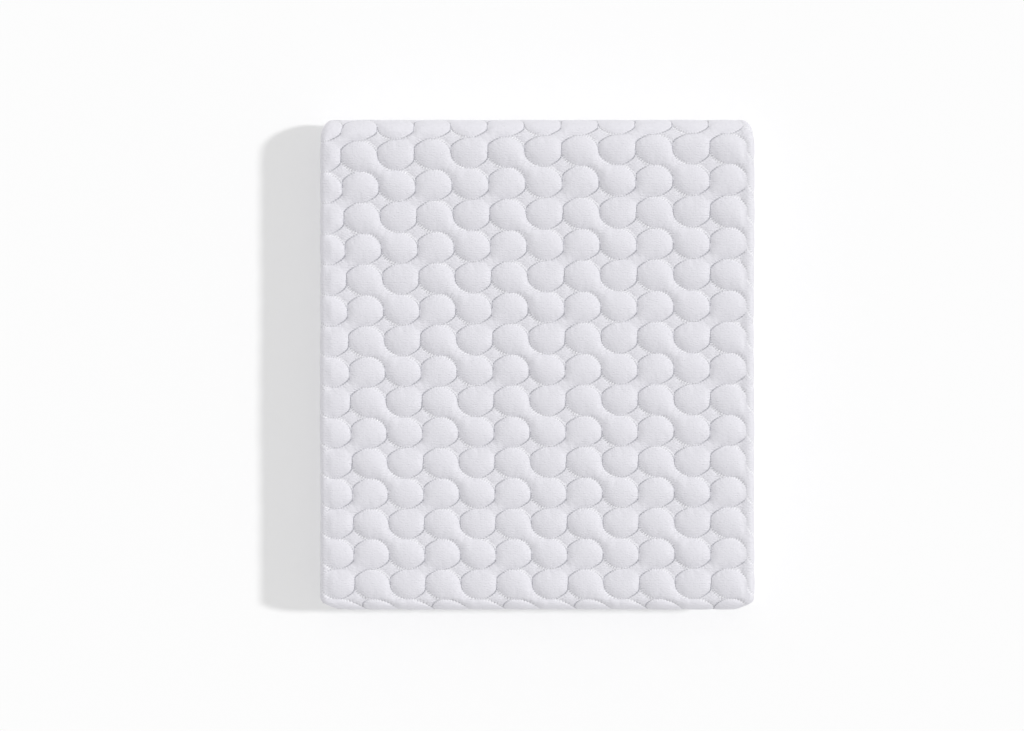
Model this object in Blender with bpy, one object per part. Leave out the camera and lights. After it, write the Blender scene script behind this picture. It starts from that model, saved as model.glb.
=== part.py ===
"""A quilted mattress protector, folded into a neat pack as it is stored and sold.

The flat protector is a face cloth, a fibre fill and a backing cloth quilted together. Its four
edges are bound with tape, and an elastic band crosses each corner to hold it to a mattress.
To fold it, both long edges are turned in to the middle, with the face outside. That makes a
double leaf, which is folded in half across and then in half again.

Axes: X across the pack, Y from front to back, Z up. The origin is on the ground, under the
middle of the pack. Sizes are in metres.

A place in a cloth is given in the leaf's own terms. A station is a place along the folded
leaf: its core point, and the direction in which its outer face looks. In the section of the
leaf at a station, x runs across and n runs from the core towards the outer face. The reach of
a cloth surface is how far it lies from the core, which is the same round the rolled sides.
"""
import math

import bmesh
import bpy
from mathutils import Vector

# The flat sheet: a single-bed size, drawn in a little by its quilting
SHEET_WIDTH = 0.896
SHEET_LENGTH = 2.000

# Its layers
FACE_THICKNESS = 0.0010
FILL_THICKNESS = 0.0033
BACKING_THICKNESS = 0.0007
FILL_AT_EDGE = 0.0005
CLOTH_GAP = 0.0003

# The folds
LEAF_GAP = 0.0006
INNER_FOLD_SETBACK = 0.0020
END_SETBACK = 0.0060
BACK_CORNER_DRAW = 0.0060
FRONT_CORNER_DRAW = 0.0110
SIDE_ROLL_FACETS = 3
OUTER_FOLD_FACETS = 6
TIGHT_FOLD_FACETS = 4

# The binding tape round the four edges
BINDING_WIDTH = 0.0120
BINDING_THICKNESS = 0.0006
END_TAPER = 0.0600
TAPE_OUTER_POINTS = 6

# The elastic band across each corner
STRAP_WIDTH = 0.0300
STRAP_THICKNESS = 0.0012
STRAP_CORNER_DISTANCE = 0.1500
STRAP_EDGE_INSET = 0.0010

# The quilting: round cells in a lattice, joined in pairs like peanuts
COLUMN_PITCH = 0.0378
ROW_PITCH = 0.0322
LAST_COLUMN_FROM_SIDE = 0.0185
FIRST_ROW_FROM_FOLD = 0.0053
PUFF_RISE = 0.0020
WAIST_RISE = 0.0013
CHANNEL_DEPTH = 0.0007
QUILT_MARGIN = 0.0020

# The middle of a round cell's quarter arc, from the cell's centre, in lattice steps
ARC_MIDDLE = 0.5 * math.sqrt(0.5)

# Surfaces of the cloths in the leaf, from the pocket out
POCKET_HALF = STRAP_THICKNESS / 2 + CLOTH_GAP
BACKING_OUT = POCKET_HALF + BACKING_THICKNESS
FILL_IN = BACKING_OUT + CLOTH_GAP
FILL_OUT = FILL_IN + FILL_THICKNESS
FACE_IN = FILL_OUT + CLOTH_GAP
LEAF_HALF = FACE_IN + FACE_THICKNESS
EDGE_SQUEEZE = (FILL_THICKNESS - FILL_AT_EDGE) / 2

# Half of the gap between the long edges, and half of the straight width of the leaf
TAPE_NOSE = CLOTH_GAP + BINDING_THICKNESS
SLIT_HALF = TAPE_NOSE + CLOTH_GAP
FILL_MIDDLE = (FILL_IN + FILL_OUT) / 2
CORE_HALF = (SHEET_WIDTH + 2 * SLIT_HALF - 2 * math.pi * FILL_MIDDLE) / 4

# Heights of the four leaves, and the radii of the folds at the core
LEAF_STEP = 2 * LEAF_HALF + LEAF_GAP
BOTTOM_LEAF_Z = LEAF_HALF
LOWER_INNER_LEAF_Z = BOTTOM_LEAF_Z + LEAF_STEP
UPPER_INNER_LEAF_Z = LOWER_INNER_LEAF_Z + LEAF_STEP
TOP_LEAF_Z = UPPER_INNER_LEAF_Z + LEAF_STEP
OUTER_FOLD_RADIUS = (TOP_LEAF_Z - BOTTOM_LEAF_Z) / 2
TIGHT_FOLD_RADIUS = LEAF_STEP / 2

# The pack is as long as lets the whole length of the sheet lie along its folds
FOLD_ARCS = math.pi * (OUTER_FOLD_RADIUS + 2 * TIGHT_FOLD_RADIUS)
FOLD_REACHES = 4 * (OUTER_FOLD_RADIUS + LEAF_HALF) + 2 * (TIGHT_FOLD_RADIUS + LEAF_HALF)
SETBACKS = 2 * (INNER_FOLD_SETBACK + END_SETBACK)
PACK_LENGTH = (SHEET_LENGTH - FOLD_ARCS + FOLD_REACHES + SETBACKS) / 4
BACK_FOLD_Y = PACK_LENGTH / 2 - OUTER_FOLD_RADIUS - LEAF_HALF
INNER_FOLD_Y = BACK_FOLD_Y - INNER_FOLD_SETBACK
FRONT_FOLD_Y = TIGHT_FOLD_RADIUS + LEAF_HALF - PACK_LENGTH / 2
SHEET_END_Y = END_SETBACK - PACK_LENGTH / 2


class Surface:
    """One side of a cloth: its reach from the core, free and at the bound edge."""

    def __init__(self, free, bound):
        self.free = free
        self.bound = bound

    def reach(self, squeeze):
        """Reach where the layers are squeezed towards the binding, from 0 to 1."""
        return self.free + (self.bound - self.free) * squeeze


BACKING_INNER_SIDE = Surface(POCKET_HALF, POCKET_HALF + EDGE_SQUEEZE)
BACKING_OUTER_SIDE = Surface(BACKING_OUT, BACKING_OUT + EDGE_SQUEEZE)
FILL_INNER_SIDE = Surface(FILL_IN, FILL_IN + EDGE_SQUEEZE)
FILL_OUTER_SIDE = Surface(FILL_OUT, FILL_OUT - EDGE_SQUEEZE)
FACE_INNER_SIDE = Surface(FACE_IN, FACE_IN - EDGE_SQUEEZE)
FACE_OUTER_SIDE = Surface(LEAF_HALF, LEAF_HALF - EDGE_SQUEEZE)


class Station:
    """A place along the folded leaf."""

    def __init__(self, y, z, face_y, face_z, draw=0.0, squeeze=0.0):
        self.y = y
        self.z = z
        self.face_y = face_y
        self.face_z = face_z
        self.draw = draw
        self.squeeze = squeeze

    def point(self, x, n):
        """World point of a place in the section of the leaf."""
        return Vector((x, self.y + n * self.face_y, self.z + n * self.face_z))


def end_station(distance, leaf_z, face_z):
    """A station on the tapered stretch, at a distance from the bound short end."""
    squeeze = 1 - distance / END_TAPER
    return Station(SHEET_END_Y + distance, leaf_z, 0, face_z, squeeze=squeeze)


def fold_stations(y, z, radius, start, turn, facets, face_sign, draw):
    """Stations round a fold; its sides are drawn in most at the middle of the turn."""
    stations = []
    for step in range(facets + 1):
        angle = start + turn * step / facets
        out_y = math.cos(angle)
        out_z = math.sin(angle)
        stations.append(Station(y + radius * out_y, z + radius * out_z,
                                face_sign * out_y, face_sign * out_z,
                                draw=draw * out_y * out_y))
    return stations


def leaf_stations(from_end):
    """Stations along the leaf, from near its head end to as near its foot end."""
    quarter = math.pi / 2
    middle_z = (BOTTOM_LEAF_Z + TOP_LEAF_Z) / 2
    upper_z = (UPPER_INNER_LEAF_Z + TOP_LEAF_Z) / 2
    head = [end_station(from_end, BOTTOM_LEAF_Z, -1),
            end_station(END_TAPER, BOTTOM_LEAF_Z, -1)]
    back = fold_stations(BACK_FOLD_Y, middle_z, OUTER_FOLD_RADIUS, -quarter, math.pi,
                         OUTER_FOLD_FACETS, 1, BACK_CORNER_DRAW)
    front = fold_stations(FRONT_FOLD_Y, upper_z, TIGHT_FOLD_RADIUS, quarter, math.pi,
                          TIGHT_FOLD_FACETS, 1, FRONT_CORNER_DRAW)
    inner = fold_stations(INNER_FOLD_Y, middle_z, TIGHT_FOLD_RADIUS, quarter, -math.pi,
                          TIGHT_FOLD_FACETS, -1, 0)
    foot = [end_station(END_TAPER, LOWER_INNER_LEAF_Z, 1),
            end_station(from_end, LOWER_INNER_LEAF_Z, 1)]
    return head + back + front + inner + foot


def roll_points(reach, draw):
    """Section points round the two rolled sides, from the right flap to the left one.

    The draw pulls the outer face in, as at the corners of a fold, and leaves the flaps.
    """
    right = []
    for step in range(SIDE_ROLL_FACETS + 1):
        angle = math.pi * (step / SIDE_ROLL_FACETS - 0.5)
        n = reach * math.sin(angle)
        half = CORE_HALF - draw * (1 + n / LEAF_HALF) / 2
        right.append((half + reach * math.cos(angle), n))
    left = [(-x, n) for x, n in reversed(right)]
    return right + left


def section_points(surface, station):
    """Section points of a cloth surface, from the right long edge to the left one."""
    rolls = roll_points(surface.reach(station.squeeze), station.draw)
    return [(SLIT_HALF, -surface.bound)] + rolls + [(-SLIT_HALF, -surface.bound)]


def flap_reach(surface, station, distance):
    """Reach of a surface on a flap, at a distance from its long edge."""
    span = CORE_HALF - SLIT_HALF
    rise = surface.reach(station.squeeze) - surface.bound
    return surface.bound + rise * distance / span


def sweep(rings, forward):
    """A closed mesh through rings of points, made by extruding its end face along them.

    The first points of a ring, as many as forward says, run along the section, and the rest
    run back. Each quad is split along the same diagonal on both runs, so that the facing
    sides of two touching cloths are alike and stay apart.
    """
    mesh = bmesh.new()
    order = mesh.verts.layers.int.new("order")
    end_face = mesh.faces.new([mesh.verts.new(point) for point in rings[0]])
    for index, vert in enumerate(end_face.verts):
        vert[order] = index
    for number, ring in enumerate(rings[1:]):
        passed_face = end_face
        passed = sorted(passed_face.verts, key=lambda vert: vert[order])
        grown = bmesh.ops.extrude_face_region(mesh, geom=[passed_face])["geom"]
        end_face = next(item for item in grown if isinstance(item, bmesh.types.BMFace))
        reached = sorted(end_face.verts, key=lambda vert: vert[order])
        for vert, point in zip(reached, ring):
            vert.co = point
        if number > 0:
            bmesh.ops.delete(mesh, geom=[passed_face], context="FACES_ONLY")
        for index in range(len(ring)):
            after = (index + 1) % len(ring)
            if index < forward:
                pair = [passed[index], reached[after]]
            else:
                pair = [passed[after], reached[index]]
            bmesh.ops.connect_verts(mesh, verts=pair)
    return mesh


def finish(mesh, name, material):
    """Turn a finished mesh into triangles that face out, on an object of its own."""
    bmesh.ops.triangulate(mesh, faces=mesh.faces[:])
    bmesh.ops.recalc_face_normals(mesh, faces=mesh.faces[:])
    data = bpy.data.meshes.new(name)
    mesh.to_mesh(data)
    mesh.free()
    data.materials.append(material)
    item = bpy.data.objects.new(name, data)
    bpy.context.collection.objects.link(item)
    return item


def cloth_mesh(inner_side, outer_side):
    """A cloth of the folded sheet, between two of its surfaces."""
    rings = []
    for station in leaf_stations(0):
        outer = section_points(outer_side, station)
        inner = section_points(inner_side, station)
        rings.append([station.point(x, n) for x, n in outer + inner[::-1]])
    return sweep(rings, len(outer))


def add_fan(mesh, middle, rim):
    """Triangles from a middle vertex to each edge of a rim."""
    for first, second in zip(rim, rim[1:]):
        mesh.faces.new((middle, first, second))


class Quilting:
    """The quilted relief of the panel on top.

    Each cell of the lattice is a round puff, which touches its four neighbours. Of the four
    quarter arcs of stitching round a cell, one is left out, and there a waist joins the cell
    to one diagonal neighbour, as in a peanut. Between the other cells lie small diamonds.
    """

    def __init__(self, mesh):
        self.mesh = mesh
        self.side = CORE_HALF - QUILT_MARGIN
        self.back = BACK_FOLD_Y - QUILT_MARGIN
        self.front = FRONT_FOLD_Y + QUILT_MARGIN
        self.last_x = CORE_HALF - LAST_COLUMN_FROM_SIDE
        self.first_y = BACK_FOLD_Y - FIRST_ROW_FROM_FOLD
        self.columns = 1 + int((self.last_x + self.side) / COLUMN_PITCH - 0.5)
        self.rows = 1 + int((self.first_y - self.front) / ROW_PITCH)
        self.crowns = {}
        self.beside = {}
        self.below = {}

    def vertex(self, column, row, rise):
        """A vertex at a place of the lattice, kept on the flat part of the leaf."""
        x = self.last_x - (self.columns - 1 - column) * COLUMN_PITCH
        y = self.first_y - row * ROW_PITCH
        x = max(-self.side, min(self.side, x))
        y = max(self.front, min(self.back, y))
        return self.mesh.verts.new((x, y, TOP_LEAF_Z + LEAF_HALF + rise))

    def make_cells(self):
        """Crowns of the cells, and the low points where neighbouring cells touch."""
        for column in range(self.columns):
            for row in range(self.rows):
                self.crowns[column, row] = self.vertex(column, row, PUFF_RISE)
        for column in range(-1, self.columns):
            for row in range(self.rows):
                self.beside[column, row] = self.vertex(column + 0.5, row, -CHANNEL_DEPTH)
        for column in range(self.columns):
            for row in range(-1, self.rows):
                self.below[column, row] = self.vertex(column, row + 0.5, -CHANNEL_DEPTH)

    def make_corner(self, column, row):
        """The ground between four crowns: a stitched diamond, or the waist of a peanut."""
        rim = [self.crowns[column, row], self.beside[column, row],
               self.crowns[column + 1, row], self.below[column + 1, row],
               self.crowns[column + 1, row + 1], self.beside[column, row + 1],
               self.crowns[column, row + 1], self.below[column, row]]
        if (column + row) % 2:
            pit = self.vertex(column + 0.5, row + 0.5, -CHANNEL_DEPTH)
            add_fan(self.mesh, pit, rim + rim[:1])
        elif column % 2:
            arcs = ((1 - ARC_MIDDLE, 1 - ARC_MIDDLE), (ARC_MIDDLE, ARC_MIDDLE))
            self.make_waist(column, row, rim[2:] + rim[:2], arcs)
        else:
            arcs = ((1 - ARC_MIDDLE, ARC_MIDDLE), (ARC_MIDDLE, 1 - ARC_MIDDLE))
            self.make_waist(column, row, rim, arcs)

    def make_waist(self, column, row, rim, arcs):
        """A saddle between the first and fifth of the rim, drawn in by an arc on each side."""
        saddle = self.vertex(column + 0.5, row + 0.5, WAIST_RISE)
        around = rim + rim[:1]
        for side, (across, along) in enumerate(arcs):
            low = self.vertex(column + across, row + along, -CHANNEL_DEPTH)
            half = around[4 * side:4 * side + 5]
            add_fan(self.mesh, low, half + [saddle, half[0]])

    def make_border(self):
        """Half cells along the four borders of the relief."""
        last_column = self.columns - 1
        last_row = self.rows - 1
        for row in range(last_row):
            for column, side in ((0, -1), (last_column, last_column)):
                rim = [self.crowns[column, row], self.beside[side, row],
                       self.beside[side, row + 1], self.crowns[column, row + 1]]
                add_fan(self.mesh, self.below[column, row], rim)
        for column in range(last_column):
            for row, side in ((0, -1), (last_row, last_row)):
                rim = [self.crowns[column, row], self.below[column, side],
                       self.below[column + 1, side], self.crowns[column + 1, row]]
                add_fan(self.mesh, self.beside[column, row], rim)
        for column, side in ((0, -1), (last_column, last_column)):
            for row, end in ((0, -1), (last_row, last_row)):
                self.mesh.faces.new((self.crowns[column, row], self.beside[side, row],
                                     self.below[column, end]))

    def make_surround(self, front_left, back_left, back_right, front_right):
        """The plain cloth from the border of the relief out to the folds and sides."""
        back = [self.below[column, -1] for column in range(self.columns)]
        front = [self.below[column, self.rows - 1] for column in range(self.columns)]
        left = [self.beside[-1, row] for row in range(self.rows)]
        right = [self.beside[self.columns - 1, row] for row in range(self.rows)]
        self.mesh.faces.new([back_right, back_left] + back)
        self.mesh.faces.new([front_left, front_right] + front[::-1])
        self.mesh.faces.new([back_left, front_left, front[0]] + left[::-1] + back[:1])
        self.mesh.faces.new([front_right, back_right, back[-1]] + right + front[-1:])

    def make(self, panel):
        """Put the relief in the place of the faces of the flat panel."""
        corners = sorted({vert for face in panel for vert in face.verts},
                         key=lambda vert: math.atan2(vert.co.x, vert.co.y))
        bmesh.ops.delete(self.mesh, geom=panel, context="FACES")
        self.make_cells()
        for column in range(self.columns - 1):
            for row in range(self.rows - 1):
                self.make_corner(column, row)
        self.make_border()
        self.make_surround(*corners)


def make_face_cover(material):
    """The knitted face cloth, with the quilting on the panel that lies on top."""
    mesh = cloth_mesh(FACE_INNER_SIDE, FACE_OUTER_SIDE)
    panel = sorted(mesh.faces, key=lambda face: face.calc_center_median().z)[-2:]
    Quilting(mesh).make(panel)
    return finish(mesh, "face_cover", material)


def tape_outline(inner_edge, inner_hem, outer_edge, outer_hem):
    """Section of the tape folded round the cloths, as (distance from the edge, reach) points.

    The four reaches are those of the free sides of the backing and of the face, at the edge
    of the cloths and under the hem of the tape.
    """
    return [(BINDING_WIDTH, outer_hem + TAPE_NOSE), (0, outer_edge + TAPE_NOSE),
            (-TAPE_NOSE, outer_edge + CLOTH_GAP), (-TAPE_NOSE, inner_edge - CLOTH_GAP),
            (0, inner_edge - TAPE_NOSE), (BINDING_WIDTH, inner_hem - TAPE_NOSE),
            (BINDING_WIDTH, inner_hem - CLOTH_GAP), (-CLOTH_GAP, inner_edge - CLOTH_GAP),
            (-CLOTH_GAP, outer_edge + CLOTH_GAP), (BINDING_WIDTH, outer_hem + CLOTH_GAP)]


def make_end_binding(name, leaf_z, face_z, material):
    """The tape across one short end, which turns round the leaf with the cloths."""
    backing = BACKING_INNER_SIDE
    face = FACE_OUTER_SIDE
    hem = 1 - BINDING_WIDTH / END_TAPER
    edge_outline = tape_outline(backing.bound, backing.bound, face.bound, face.bound)
    roll_outline = tape_outline(backing.bound, backing.reach(hem),
                                face.bound, face.reach(hem))
    last = 2 * SIDE_ROLL_FACETS + 3
    rings = []
    for place in range(last + 1):
        ring = []
        if place in (0, last):
            x = SLIT_HALF - TAPE_NOSE if place == 0 else TAPE_NOSE - SLIT_HALF
            for distance, reach in edge_outline:
                ring.append(end_station(distance, leaf_z, face_z).point(x, -reach))
        else:
            for distance, reach in roll_outline:
                x, n = roll_points(reach, 0)[place - 1]
                ring.append(end_station(distance, leaf_z, face_z).point(x, n))
        rings.append(ring)
    return finish(sweep(rings, TAPE_OUTER_POINTS), name, material)


def make_side_binding(name, side, material):
    """The tape along one long edge, between the two end bindings."""
    rings = []
    for station in leaf_stations(BINDING_WIDTH + CLOTH_GAP):
        backing_hem = flap_reach(BACKING_INNER_SIDE, station, BINDING_WIDTH)
        face_hem = flap_reach(FACE_OUTER_SIDE, station, BINDING_WIDTH)
        outline = tape_outline(BACKING_INNER_SIDE.bound, backing_hem,
                               FACE_OUTER_SIDE.bound, face_hem)
        rings.append([station.point(side * (SLIT_HALF + distance), -reach)
                      for distance, reach in outline])
    return finish(sweep(rings, TAPE_OUTER_POINTS), name, material)


def make_strap(name, side, leaf_z, material):
    """The elastic band across one corner of the sheet, flat in the pocket of its leaf."""
    corner_x = SLIT_HALF + STRAP_EDGE_INSET
    corner_y = SHEET_END_Y + STRAP_EDGE_INSET
    near = STRAP_CORNER_DISTANCE
    far = near + STRAP_WIDTH * math.sqrt(2)
    plan = [(near, 0), (far, 0), (0, far), (0, near)]
    rings = []
    for z in (leaf_z - STRAP_THICKNESS / 2, leaf_z + STRAP_THICKNESS / 2):
        rings.append([Vector((side * (corner_x + across), corner_y + along, z))
                      for across, along in plan])
    return finish(sweep(rings, len(plan)), name, material)


def make_material(name, colour, roughness):
    """A plain cloth finish; the colour is linear red, green and blue."""
    material = bpy.data.materials.new(name)
    material.use_nodes = True
    shader = material.node_tree.nodes["Principled BSDF"]
    shader.inputs["Base Color"].default_value = (*colour, 1)
    shader.inputs["Roughness"].default_value = roughness
    shader.inputs["Metallic"].default_value = 0
    return material


def main():
    """Clear the scene and build the folded protector."""
    for item in list(bpy.data.objects):
        bpy.data.objects.remove(item, do_unlink=True)

    face_finish = make_material("face_knit", (0.76, 0.76, 0.80), 0.90)
    fill_finish = make_material("polyester_fill", (0.85, 0.85, 0.85), 1.00)
    backing_finish = make_material("backing_knit", (0.74, 0.74, 0.76), 0.85)
    tape_finish = make_material("binding_tape", (0.80, 0.80, 0.82), 0.70)
    strap_finish = make_material("woven_elastic", (0.78, 0.78, 0.80), 0.75)

    make_face_cover(face_finish)
    fill = cloth_mesh(FILL_INNER_SIDE, FILL_OUTER_SIDE)
    finish(fill, "fibre_fill", fill_finish)
    backing = cloth_mesh(BACKING_INNER_SIDE, BACKING_OUTER_SIDE)
    finish(backing, "backing_cloth", backing_finish)

    make_end_binding("head_binding", BOTTOM_LEAF_Z, -1, tape_finish)
    make_end_binding("foot_binding", LOWER_INNER_LEAF_Z, 1, tape_finish)
    make_side_binding("right_binding", 1, tape_finish)
    make_side_binding("left_binding", -1, tape_finish)

    make_strap("head_strap_right", 1, BOTTOM_LEAF_Z, strap_finish)
    make_strap("head_strap_left", -1, BOTTOM_LEAF_Z, strap_finish)
    make_strap("foot_strap_right", 1, LOWER_INNER_LEAF_Z, strap_finish)
    make_strap("foot_strap_left", -1, LOWER_INNER_LEAF_Z, strap_finish)


main()
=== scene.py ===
"""Quilted mattress protector, folded into a flat pack, as seen from straight above.

The long edges of the sheet are turned in to the middle, and the double leaf that this makes is
folded in half across, and in half again. Every cloth here is a flat grid that is laid along
those folds. Its relief comes from the quilting: round cells in a lattice, sewn in pairs.

Lengths are in metres, but for those of the lattice and names that end in mm.
"""
import logging
import math
from collections.abc import Callable
from dataclasses import dataclass
from enum import Enum
from functools import cached_property

import bmesh
import bpy
import numpy as np
from bpy.types import Material, Mesh, Node, NodeSocket, NodeTree, Object
from numpy import ndarray
from numpy.polynomial.polynomial import polyval2d
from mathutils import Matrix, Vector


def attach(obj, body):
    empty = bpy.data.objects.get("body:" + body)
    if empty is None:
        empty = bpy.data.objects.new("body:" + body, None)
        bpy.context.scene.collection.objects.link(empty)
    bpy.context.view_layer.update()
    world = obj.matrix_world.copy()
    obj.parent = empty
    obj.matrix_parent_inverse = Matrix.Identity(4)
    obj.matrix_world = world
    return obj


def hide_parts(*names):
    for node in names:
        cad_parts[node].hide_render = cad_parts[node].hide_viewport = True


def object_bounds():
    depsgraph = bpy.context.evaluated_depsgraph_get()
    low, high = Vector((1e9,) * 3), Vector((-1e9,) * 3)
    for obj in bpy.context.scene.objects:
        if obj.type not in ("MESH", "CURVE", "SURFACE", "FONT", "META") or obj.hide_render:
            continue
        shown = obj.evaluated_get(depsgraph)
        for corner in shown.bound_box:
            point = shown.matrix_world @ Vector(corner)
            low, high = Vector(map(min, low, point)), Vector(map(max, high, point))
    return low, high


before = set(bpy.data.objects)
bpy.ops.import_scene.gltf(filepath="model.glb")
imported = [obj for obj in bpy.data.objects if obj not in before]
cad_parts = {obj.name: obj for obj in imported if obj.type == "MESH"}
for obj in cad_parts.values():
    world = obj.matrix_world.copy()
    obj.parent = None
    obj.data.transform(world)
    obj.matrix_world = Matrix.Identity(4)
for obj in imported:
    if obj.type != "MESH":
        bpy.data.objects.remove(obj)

PACKED_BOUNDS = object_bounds()
MM = 0.001
# Twice the turn round a cell at which the stitch line is tightest, and the knit's painted shade
# in the crease darkest.
TIGHT_TURN = math.pi / 4
# Where the cloth starts in the map for baking, and how far it goes across and up.
BAKE_START = 0.001
BAKE_SPAN = (0.998, 0.975)

log = logging.getLogger("protector")


class End(Enum):
    """A short end of the sheet: the nodes' word, and the way along from it into the sheet."""

    HEAD = ("head", -1)
    FOOT = ("foot", 1)


class Side(Enum):
    """A long edge of the sheet: the nodes' word, and its sign across."""

    RIGHT = ("right", 1)
    LEFT = ("left", -1)


class Map(Enum):
    """UV maps of the cloths."""

    BAKE = "OFBake"
    CLOTH = "Cloth"
    LATTICE = "Lattice"


def ease(share: ndarray) -> ndarray:
    """Eases a share between 0 and 1, so that it starts and stops gently."""
    return share * share * (3 - 2 * share)


def joined(*parts: ndarray) -> ndarray:
    """Joins arrays, each spread to their common shape, along a new last axis."""
    return np.stack(np.broadcast_arrays(*parts), axis=-1)


def wrapped(heights: ndarray, x: ndarray, y: ndarray) -> ndarray:
    """Heights at places of a square map that repeats.

    Args:
        heights: The map by row and column.
        x: Columns.
        y: Rows.

    Returns:
        The heights, blended between the map's own places.
    """
    size = len(heights)
    left, top = np.floor(x).astype(int), np.floor(y).astype(int)
    found = 0
    for below, high in enumerate((1 - (y - top), y - top)):
        for beside, wide in enumerate((1 - (x - left), x - left)):
            found = found + heights[(top + below) % size, (left + beside) % size] * wide * high
    return found


@dataclass(frozen=True)
class FoldPlan:
    """Where each place of the flat sheet lies in the folded pack.

    A place is given by how far across it is from the sheet's middle line, how far along from
    the middle of the top panel, and its reach, which is its distance from the leaf's core.
    """

    sheet_width: float = 0.896
    sheet_length: float = 2.000
    leaf_half: float = 0.0065
    leaf_gap: float = 0.0006
    fill_middle: float = 0.00355
    slit_half: float = 0.0012
    edge_squeeze: float = 0.0014
    end_taper: float = 0.060
    inner_fold_setback: float = 0.0020
    end_setback: float = 0.0060
    back_corner_draw: float = 0.0060
    front_corner_draw: float = 0.0155
    corner_reach: float = 0.055

    @property
    def core_half(self) -> float:
        """Half of the straight width of the leaf."""
        return (self.sheet_width + 2 * self.slit_half - 2 * math.pi * self.fill_middle) / 4

    @property
    def roll_length(self) -> float:
        """Length of the face round one rolled side."""
        return math.pi * self.leaf_half

    @property
    def edge_across(self) -> float:
        """Distance across, on the face, from the middle line to a long edge."""
        return self.core_half + self.roll_length + self.core_half - self.slit_half

    @property
    def leaf_step(self) -> float:
        """Height from one leaf to the next."""
        return 2 * self.leaf_half + self.leaf_gap

    @property
    def leaf_heights(self) -> tuple[float, ...]:
        """Heights of the four leaves' cores, from the bottom one up."""
        return tuple(self.leaf_half + leaf * self.leaf_step for leaf in range(4))

    @property
    def outer_radius(self) -> float:
        """Radius of the big back fold at the leaf's core."""
        return 1.5 * self.leaf_step

    @property
    def tight_radius(self) -> float:
        """Radius of the front and inner folds at the leaf's core."""
        return 0.5 * self.leaf_step

    @property
    def half_length(self) -> float:
        """Half the length of the pack, which is an eighth of its four leaves' in a line."""
        arcs = math.pi * (self.outer_radius + 2 * self.tight_radius)
        reaches = 4 * (self.outer_radius + self.leaf_half)
        reaches += 2 * (self.tight_radius + self.leaf_half)
        setbacks = 2 * (self.inner_fold_setback + self.end_setback)
        return (self.sheet_length - arcs + reaches + setbacks) / 8

    @property
    def back_fold(self) -> float:
        """Y where the big back fold starts."""
        return self.half_length - self.outer_radius - self.leaf_half

    @property
    def inner_fold(self) -> float:
        """Y where the inner back fold starts."""
        return self.back_fold - self.inner_fold_setback

    @property
    def front_fold(self) -> float:
        """Y where the front fold starts."""
        return self.tight_radius + self.leaf_half - self.half_length

    @property
    def sheet_end(self) -> float:
        """Y of both short ends."""
        return self.end_setback - self.half_length

    @property
    def back_arc(self) -> float:
        """Length of the face round the big back fold."""
        return math.pi * (self.outer_radius + self.leaf_half)

    @property
    def front_arc(self) -> float:
        """Length of the face round the front fold."""
        return math.pi * (self.tight_radius + self.leaf_half)

    @property
    def marks(self) -> tuple[float, ...]:
        """Places along the sheet where a stretch starts, from the head end to the foot end."""
        back, front = self.back_fold, self.front_fold
        bottom = back + self.back_arc
        inner_leaf = front - self.front_arc
        inner_fold = inner_leaf - (self.inner_fold - front)
        lower_leaf = inner_fold - math.pi * self.tight_radius
        return (bottom + back - self.sheet_end, bottom, back, front, inner_leaf, inner_fold,
                lower_leaf, lower_leaf - (self.inner_fold - self.sheet_end))

    def core(self, along: ndarray) -> tuple[ndarray, ...]:
        """The leaf's core at places along the sheet.

        Args:
            along: Places along the sheet.

        Returns:
            Y and Z of the core, Y and Z of the way the face looks, and the corners' draw.
        """
        z_bottom, z_lower, z_upper, z_top = self.leaf_heights
        _, bottom, back, front, inner_leaf, inner_fold, lower_leaf, _ = self.marks
        middle = (z_bottom + z_top) / 2
        # Of each stretch: where it ends, Y and Z of its line or its arc's centre, radius, turn
        # in half circles, whether the face is outside, the corners' draw and how sharp it is.
        stretches = (
            (bottom, self.back_fold + bottom - along, z_bottom, 0, -0.5, 1, 0, 1),
            (back, self.back_fold, middle, self.outer_radius,
             0.5 - (along - back) / self.back_arc, 1, self.back_corner_draw, 2),
            (front, along, z_top, 0, 0.5, 1, 0, 1),
            (inner_leaf, self.front_fold, (z_upper + z_top) / 2, self.tight_radius,
             0.5 + (front - along) / self.front_arc, 1, self.front_corner_draw, 3),
            (inner_fold, self.front_fold + inner_leaf - along, z_upper, 0, -0.5, 1, 0, 1),
            (lower_leaf, self.inner_fold, middle, self.tight_radius,
             0.5 - (inner_fold - along) / (inner_fold - lower_leaf), -1, 0, 1),
            (-math.inf, self.inner_fold - lower_leaf + along, z_lower, 0, 0.5, 1, 0, 1))
        where, found = [], []
        for last, y, z, radius, half_turns, way, draw, power in stretches:
            turn = math.pi * half_turns + 0 * along
            face_y, face_z = np.cos(turn), np.sin(turn)
            where.append(along > last)
            found.append((y + radius * face_y, z + radius * face_z, way * face_y,
                          way * face_z, draw * np.abs(face_y) ** power))
        return tuple(np.select(where, part) for part in zip(*found))

    def from_end(self, along: ndarray) -> ndarray:
        """Distances of places along the sheet from the nearer short end."""
        return np.minimum(self.marks[0] - along, along - self.marks[-1])

    def squeeze(self, along: ndarray) -> ndarray:
        """How far the layers are squeezed towards a short end's binding, from 0 to 1."""
        return np.clip(1 - self.from_end(along) / self.end_taper, 0, 1)

    def roll_turn(self, out: ndarray) -> ndarray:
        """Turn round a rolled side, at distances from the middle line."""
        return np.clip((out - self.core_half) / self.roll_length, 0, 1) * math.pi

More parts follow.
